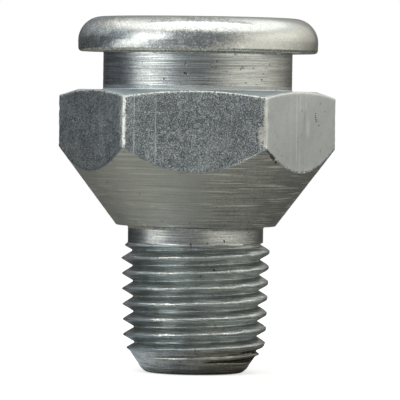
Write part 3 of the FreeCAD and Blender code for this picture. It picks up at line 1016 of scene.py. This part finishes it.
# The mat and the screens from the foot of the object up: across and up in metres, then the shares of the
# mat's, the foot's, the screens' and the top's light
SCREEN_PROFILE = [
    # The rows closest to the object are dimmer: a painted shadow of the object on the mat.
    (0.0043, 0.00005, 0.0, 0.2, 0.0, 0.0), (0.005, 0.0002, 0.0, 0.6, 0.0, 0.0),
    (0.0058, 0.0002, 0.0, 1.4, 0.0, 0.0), (0.0092, 0.0002, 0.05, 1.2, 0.0, 0.0),
    (0.013, 0.0002, 0.95, 0.0, 0.0, 0.0),
    *[(across, 0.0002, 1.0, 0.0, 0.0, 0.0) for across in (0.03, 0.06, 0.10)],
    (0.13, 0.0002, 0.7, 0.0, 0.3, 0.0), (0.13, 0.008, 0.1, 0.0, 0.9, 0.0),
    *[(0.13, up, 0.0, 0.0, 1.0, 0.0) for up in (0.012, 0.016, 0.02, 0.025, 0.03, 0.04, 0.05)],
    (0.13, 0.07, 0.0, 0.0, 0.95, 0.0), (0.13, 0.09, 0.0, 0.0, 0.72, 0.05),
    (0.13, 0.11, 0.0, 0.0, 0.4, 0.15), (0.13, 0.13, 0.0, 0.0, 0.25, 0.3),
    (0.127, 0.15, 0.0, 0.0, 0.1, 0.65), (0.122, 0.17, 0.0, 0.0, 0.0, 0.95),
    (0.115, 0.19, 0.0, 0.0, 0.0, 1.0), (0.1, 0.22, 0.0, 0.0, 0.0, 1.0),
]
# Brightness of the screens' top by azimuth
TOP_LEVELS = [
    (-180, 0.7), (-160, 0.75), (-145, 1.0), (-130, 1.6), (-95, 2.1), (-60, 2.1), (60, 2.1), (95, 2.1),
    (125, 2.1), (145, 1.8), (160, 1.1), (180, 0.7),
]
# A darker gap across the left screen: height or azimuth, and share of the light that is gone
LEFT_GAP = [(0.009, 0.0), (0.014, 0.55), (0.018, 0.55), (0.024, 0.0)]
LEFT_GAP_SIDES = [(-95, 0.0), (-85, 1.0), (-45, 1.0), (-35, 0.0)]
# By azimuth: how much brighter the screens grow upwards, and how warm the light at the foot is
BRIGHTER_UP = [
    (-90, 0.0), (-75, 0.4), (-35, 0.4), (-20, 0.0), (10, 0.0), (35, 0.32), (100, 0.25), (140, 0.0),
]
FOOT_WARMTH = [(-120, -0.6), (-20, 0.0), (40, 1.5), (150, 1.0), (170, -0.5)]
# Height, and how many degrees the screens' pattern is moved round there. It isn't moved at the back.
LEANING = [(0.008, -6.0), (0.023, 0.0), (0.031, 4.0), (0.038, 19.0)]
BACK_FROM = 150
FULLY_RAISED = 0.08
COOL_LIGHT = (0.95, 1.0, 1.06)
WARM_LIGHT = (1.05, 1.0, 0.91)


def screen_shades(turned):
    """Colours of the screens from the foot of the object up, at one azimuth."""
    mat, foot = read_off(MAT_LEVELS, turned), read_off(MAT_LEVELS, turned, 2)
    top, growth = read_off(TOP_LEVELS, turned), read_off(BRIGHTER_UP, turned)
    gap = read_off(LEFT_GAP_SIDES, turned)
    behind = 0.5 - 0.5 * math.cos(math.radians(turned))
    shades = []
    for _, height, mat_share, foot_share, wall_share, top_share in SCREEN_PROFILE:
        raised = min(1.0, height / FULLY_RAISED)
        leaning = turned if abs(turned) > BACK_FROM else turned - read_off(LEANING, height)
        wall = read_off(SCREEN_LEVELS, leaning) * (1 - read_off(LEFT_GAP, height) * gap)
        top_share = min(1.0, top_share + 0.4 * behind * raised ** 2)
        shade = mat_share * mat + foot_share * foot + wall_share * wall * (1 + growth * raised)
        shade = shade + top_share * top
        if foot_share > mat_share:
            warm = read_off(FOOT_WARMTH, turned)
        elif mat_share > wall_share:
            warm = 1.0
        elif top_share > wall_share:
            warm = 0.6
        else:
            warm = read_off(SCREEN_LEVELS, leaning, 2)
        tint = [cool + (hot - cool) * warm for cool, hot in zip(COOL_LIGHT, WARM_LIGHT)]
        shades.append([shade * part for part in tint] + [1.0])
    return shades


def make_screens():
    """Glowing grey and white studio screens and a mat, which only the metal sees, with the object's
    shadow painted into the mat at its foot.
    """
    steps = 144
    points, faces, shades = [], [], []
    for step in range(steps):
        turned = -180 + 360 * step / steps
        points += [azimuth_point(turned, row[0], row[1]) for row in SCREEN_PROFILE]
        shades += screen_shades(turned)
    rows = len(SCREEN_PROFILE)
    for step in range(steps):
        a = rows * step
        b = rows * ((step + 1) % steps)
        for row in range(rows - 1):
            faces.append((a + row, b + row, b + row + 1, a + row + 1))
    mesh = bpy.data.meshes.new("studio_screens")
    mesh.from_pydata(points, [], faces)
    layer = mesh.attributes.new("shade", "FLOAT_COLOR", "POINT")
    layer.data.foreach_set("color", np.array(shades, np.float32).ravel())
    g = Graph(bpy.data.materials.new("screen_grey"))
    shade = g.node("ShaderNodeAttribute", {"attribute_name": "shade"}).outputs["Color"]
    g.end(g.node("ShaderNodeEmission", Color=shade, Strength=1.0).outputs[0])
    mesh.materials.append(g.owner)
    item = put("studio_screens", mesh)
    for rays in ("camera", "diffuse", "shadow", "transmission", "volume_scatter"):
        setattr(item, f"visible_{rays}", False)


def backdrop_factor(g):
    """1 for the rays that see the white backdrop: from the camera, off metal and through glass."""
    path = g.node("ShaderNodeLightPath").outputs
    return g.largest(path["Is Camera Ray"], path["Is Glossy Ray"], path["Is Transmission Ray"])


def make_floor():
    """A pale floor that keeps the object's shadow and fades to the white backdrop far off."""
    half = 3.0
    mesh = bpy.data.meshes.new("floor")
    corners = [(-half, -half, 0), (half, -half, 0), (half, half, 0), (-half, half, 0)]
    mesh.from_pydata(corners, [], [(0, 1, 2, 3)])
    g = Graph(bpy.data.materials.new("pale_floor"))
    distance = g.vector("LENGTH", g.node("ShaderNodeTexCoord").outputs["Object"])
    seen = backdrop_factor(g)
    paint = g.node("ShaderNodeBsdfDiffuse", Color=(0.82, 0.82, 0.81, 1))
    lift = g.node("ShaderNodeEmission", Strength=g.times(seen, 0.6))
    near = g.node("ShaderNodeAddShader")
    g.feed_all(near, paint.outputs[0], lift.outputs[0])
    white = g.node("ShaderNodeEmission", Strength=1.0)
    fade = g.times(g.ramp(distance, 0.05, 0.4), seen)
    g.end(g.mix_shaders(fade, near.outputs[0], white.outputs[0]))
    mesh.materials.append(g.owner)
    item = put("floor", mesh)


def make_world():
    """A plain world, white for the rays that see the backdrop."""
    world = bpy.data.worlds.new("studio")
    bpy.context.scene.world = world
    g = Graph(world)
    plain = g.node("ShaderNodeBackground", Color=(1, 1, 1, 1), Strength=0.5)
    white = g.node("ShaderNodeBackground", Color=(1, 1, 1, 1), Strength=1.0)
    both = g.mix_shaders(backdrop_factor(g), plain.outputs[0], white.outputs[0])
    g.end(both, "ShaderNodeOutputWorld")


def make_camera():
    """The camera stands where the photograph's did, level with the upper part of the hexagon."""
    distance, height, aside = 365.0, 25.55, 0.37
    pitch, roll, yaw = math.radians(1.517), math.radians(0.789), math.radians(1.008)
    pixels_per_mm, width = 10.8505, 400
    data = bpy.data.cameras.new("camera")
    data.sensor_width = 36.0
    data.lens = pixels_per_mm * distance / width * data.sensor_width
    data.clip_start, data.clip_end = 0.01, 20.0
    turn = Matrix.Rotation(yaw, 4, "Z")
    forward = Vector((0, math.cos(pitch), -math.sin(pitch)))
    across = Vector((1, 0, 0))
    up = across.cross(forward)
    right = across * math.cos(roll) + up * math.sin(roll)
    upright = up * math.cos(roll) - across * math.sin(roll)
    basis = Matrix((right, upright, -forward)).transposed().to_4x4()
    place = Matrix.Translation(Vector((aside * MM, -distance * MM, height * MM)))
    item = put("camera", data)
    item.matrix_world = turn @ place @ basis
    bpy.context.scene.camera = item


make_camera()
make_world()
make_floor()
make_screens()
make_lamp("top_softbox", turned=0, distance=0.12, height=0.62, size=(0.7, 0.4), radiance=2.2,
          colour=LAMP_WHITE)
make_lamp("left_strip", turned=-56, distance=0.6, height=0.15, size=(0.36, 0.4), radiance=1.9,
          colour=LAMP_WHITE)
make_lamp("right_fill", turned=78, distance=0.72, height=0.25, size=(0.8, 0.5), radiance=0.5,
          colour=LAMP_WARM, glossy=False)

body = make_body()
for title, finish in BODY_FINISHES.items():
    body.data.materials.append(steel(title, finish))
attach(body, "housing")
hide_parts("fitting_body")

spring = make_spring()
spring.data.materials.append(steel("spring_steel", SPRING_FINISH))
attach(spring, "housing")
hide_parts("check_spring")
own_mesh(spring)

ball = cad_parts["check_ball"]
ball.data.materials.clear()
ball.data.materials.append(steel("ball_steel", BALL_FINISH))

bpy.context.scene.view_settings.view_transform = "Standard"
